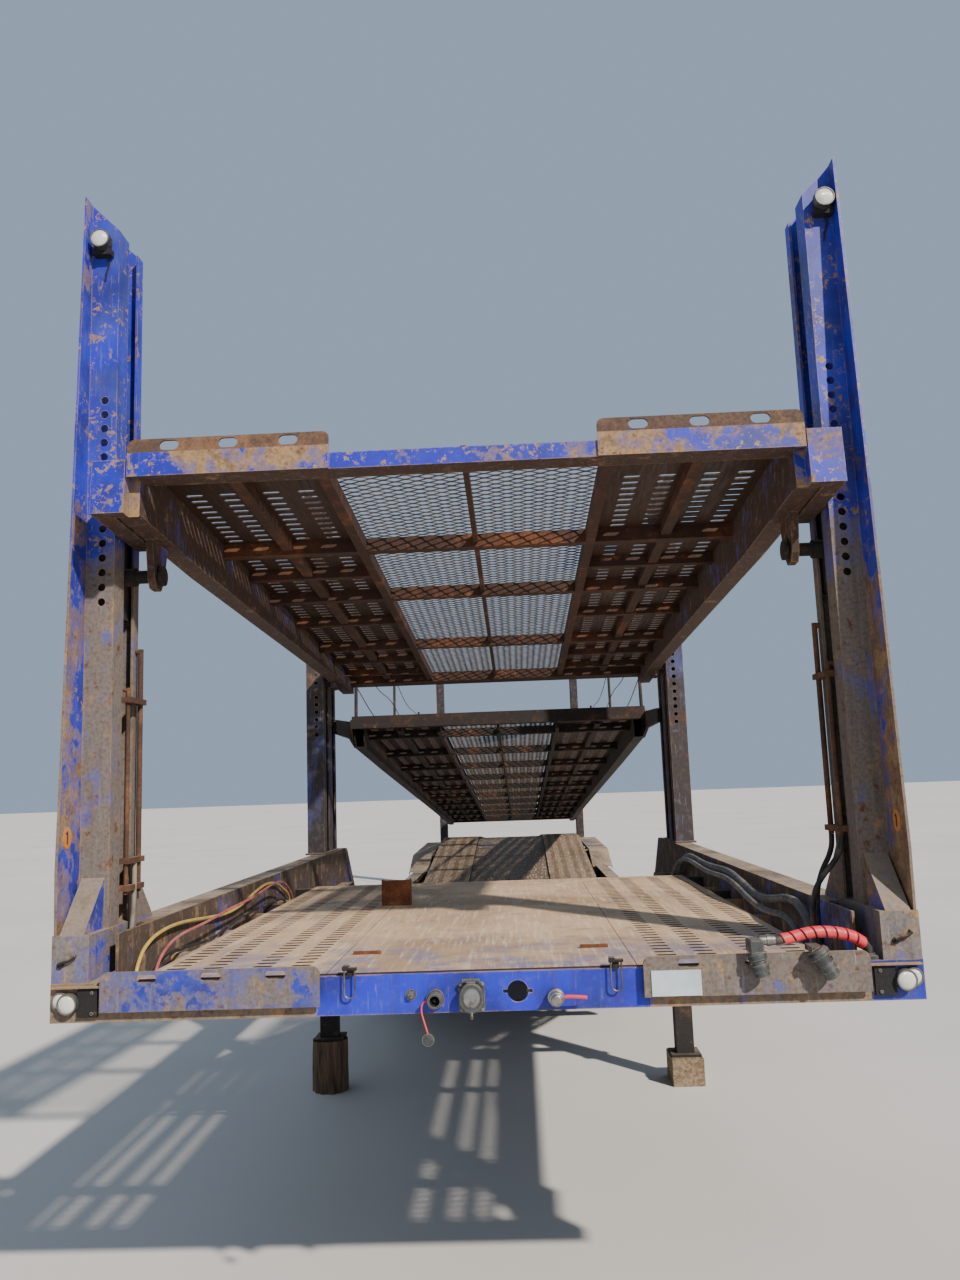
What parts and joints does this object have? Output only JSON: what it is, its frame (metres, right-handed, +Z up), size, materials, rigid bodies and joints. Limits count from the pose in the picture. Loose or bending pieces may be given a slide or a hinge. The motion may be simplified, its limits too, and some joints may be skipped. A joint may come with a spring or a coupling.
{
  "type": "double-deck car transporter semi-trailer",
  "caption": "Long two-deck semi-trailer for carrying cars: lifting and tilting upper decks between posts, a low rear well, twin-wheel axles and legs on wood.",
  "frame": {"origin": "on the ground under the middle of the trailer's overall box", "axes": "+X to the right as seen from the front, +Y to the rear, +Z up"},
  "size_m": [2.51, 15.2782, 3.7557],
  "materials": {
    "blue_paint": "worn gloss blue paint",
    "rusty_blue_paint": "blue paint worn through to rust",
    "rust": "rusted steel with dust",
    "dark_steel": "dark dirty steel",
    "deck_steel": "worn dusty steel plate",
    "mesh_steel": "dusty expanded steel",
    "bare_steel": "bare worked steel",
    "grey_metal": "weathered grey metal",
    "wheel_steel": "dusty painted wheel steel",
    "tyre": "dusty tyre rubber",
    "wood": "rough sawn and split wood",
    "lamp_white": "milky lamp lens",
    "lamp_red": "red lamp lens",
    "white_plate": "plain white plate",
    "wire_rope": "weathered wire rope",
    "red_wrap": "red spiral hose wrap",
    "black_rubber": "black rubber",
    "grey_hose": "grey hydraulic hose",
    "pipe_steel": "rusty hydraulic pipe"
  },
  "bodies": {
    "chassis": {"axles": "dark_steel", "blank_plates": "white_plate", "cap_lanyard": "red_wrap", "coupling_plate": "dark_steel", "deck_bracket": "rust", "frame_crossmembers": "dark_steel", "front_crossbeam": "blue_paint", "front_fittings": "grey_metal", "front_flap_plates": "rusty_blue_paint", "front_mast_left": "rusty_blue_paint", "front_mast_right": "rusty_blue_paint", "inner_girders": "dark_steel", "kingpin": "bare_steel", "lamps": "lamp_white", "landing_legs": "dark_steel", "lanyard_cap": "grey_metal", "left_cables": "black_rubber", "loading_ramps": "bare_steel", "lower_centre_plate": "deck_steel", "lower_runways": "deck_steel", "mid_mast_left": "rusty_blue_paint", "mid_mast_right": "rusty_blue_paint", "mudguards": "rusty_blue_paint", "neck_centre_plate": "deck_steel", "neck_runways": "deck_steel", "neck_side_rails": "rusty_blue_paint", "pipes_and_clamps": "pipe_steel", "rear_crossbeam": "rusty_blue_paint", "rear_lamps": "lamp_red", "rear_mast_left": "rusty_blue_paint", "rear_mast_right": "rusty_blue_paint", "red_spiral_hose": "red_wrap", "right_hoses": "grey_hose", "side_girders": "rusty_blue_paint", "support_block": "wood", "support_log": "wood", "suspension": "dark_steel", "underrun_bar": "dark_steel"},
    "front_lift": {"front_carriages": "dark_steel"},
    "front_upper_deck": {"front_deck_front_beam": "rust", "front_deck_grid": "rust", "front_deck_mesh": "mesh_steel", "front_deck_runways": "deck_steel", "front_deck_side_beams": "rust"},
    "rear_lift": {"rear_carriages": "dark_steel"},
    "rear_upper_deck": {"rear_deck_front_beam": "rust", "rear_deck_grid": "rust", "rear_deck_mesh": "mesh_steel", "rear_deck_runways": "deck_steel", "rear_deck_side_beams": "rust", "handrail_posts": "dark_steel", "handrail_ropes": "wire_rope"},
    "twin_front_left": {"tyres_front_left": "tyre", "wheel_front_left": "wheel_steel"},
    "twin_front_right": {"tyres_front_right": "tyre", "wheel_front_right": "wheel_steel"},
    "twin_rear_left": {"tyres_rear_left": "tyre", "wheel_rear_left": "wheel_steel"},
    "twin_rear_right": {"tyres_rear_right": "tyre", "wheel_rear_right": "wheel_steel"}
  },
  "joints": [
    {"name": "front_deck_lift", "type": "slide", "parent": "chassis", "child": "front_lift", "axis": [0, 0, 1], "range_m": [-0.25, 0.35]},
    {"name": "front_deck_tilt", "type": "hinge", "parent": "front_lift", "child": "front_upper_deck", "pos_m": [0, -7.28387, 2.475], "axis": [1, 0, 0], "range_deg": [-3, 5]},
    {"name": "rear_deck_lift", "type": "slide", "parent": "chassis", "child": "rear_lift", "axis": [0, 0, 1], "range_m": [-0.1, 0.5]},
    {"name": "rear_deck_tilt", "type": "hinge", "parent": "rear_lift", "child": "rear_upper_deck", "pos_m": [0, -3.71887, 2.167], "axis": [1, 0, 0], "range_deg": [0, 8]},
    {"name": "wheel_front_left_spin", "type": "hinge", "parent": "chassis", "child": "twin_front_left", "pos_m": [-0.975, 2.98913, 0.394], "axis": [1, 0, 0], "continuous": true},
    {"name": "wheel_front_right_spin", "type": "hinge", "parent": "chassis", "child": "twin_front_right", "pos_m": [0.975, 2.98913, 0.394], "axis": [1, 0, 0], "continuous": true},
    {"name": "wheel_rear_left_spin", "type": "hinge", "parent": "chassis", "child": "twin_rear_left", "pos_m": [-0.975, 4.29913, 0.394], "axis": [1, 0, 0], "continuous": true},
    {"name": "wheel_rear_right_spin", "type": "hinge", "parent": "chassis", "child": "twin_rear_right", "pos_m": [0.975, 4.29913, 0.394], "axis": [1, 0, 0], "continuous": true}
  ]
}
